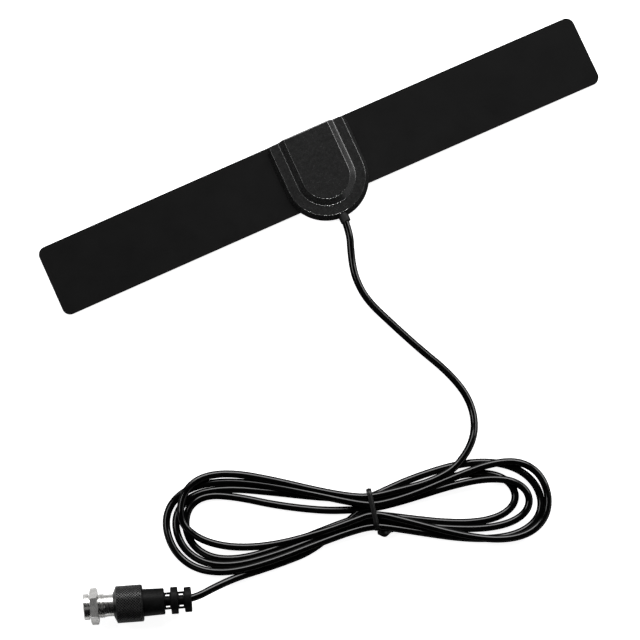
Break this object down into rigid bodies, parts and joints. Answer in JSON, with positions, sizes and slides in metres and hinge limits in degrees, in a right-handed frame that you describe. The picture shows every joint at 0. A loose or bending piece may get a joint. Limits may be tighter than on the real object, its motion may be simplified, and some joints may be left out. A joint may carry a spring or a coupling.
{
  "type": "flat indoor tv antenna",
  "caption": "Slim flat strip antenna with a two-tier black housing, a thin lead tied in a hank and a screw-on coaxial plug, for indoor TV reception.",
  "frame": {"origin": "middle of the rear cover's back face, under the middle of the strip", "axes": "+X along the strip, +Y towards the flat edge of the housing, +Z out of the front"},
  "size_m": [0.2942, 0.1958, 0.0155],
  "materials": {
    "film": "matt black sheet",
    "cover": "satin black moulding",
    "gland": "satin black",
    "foil": "rolled foil",
    "board": "solder mask",
    "contact": "plain",
    "ferrite": "matt sintered",
    "copper": "bare wire",
    "dielectric": "white plastic",
    "solder": "bright",
    "jacket": "semi-gloss black jacket",
    "tie": "matt black",
    "nickel": "bright nickel plate",
    "pin": "plated",
    "grip": "matt black moulding"
  },
  "bodies": {
    "antenna": {"front_film": "film", "back_film": "film", "front_cover": "cover", "rear_cover": "cover", "cable_gland": "gland", "left_foil": "foil", "right_foil": "foil", "matching_board": "board", "left_contact": "contact", "right_contact": "contact", "balun_core": "ferrite", "balun_winding": "copper", "coax_conductor": "copper", "coax_braid": "copper", "coax_dielectric": "dielectric", "pin_insulator": "dielectric", "solder_joints": "solder", "cable_lead": "jacket", "cable_hank": "jacket", "cable_tail": "jacket", "cable_tie": "tie", "plug_barrel": "nickel", "plug_post": "nickel", "centre_pin": "pin", "grip_ring": "grip", "plug_boot": "grip"},
    "coupling_nut": {"coupling_nut": "nickel"}
  },
  "joints": [
    {"name": "coupling_nut_spin", "type": "hinge", "parent": "antenna", "child": "coupling_nut", "pos_m": [-0.16364, -0.13406, 0.00775], "axis": [0.9403, -0.3404, 0], "continuous": true}
  ]
}
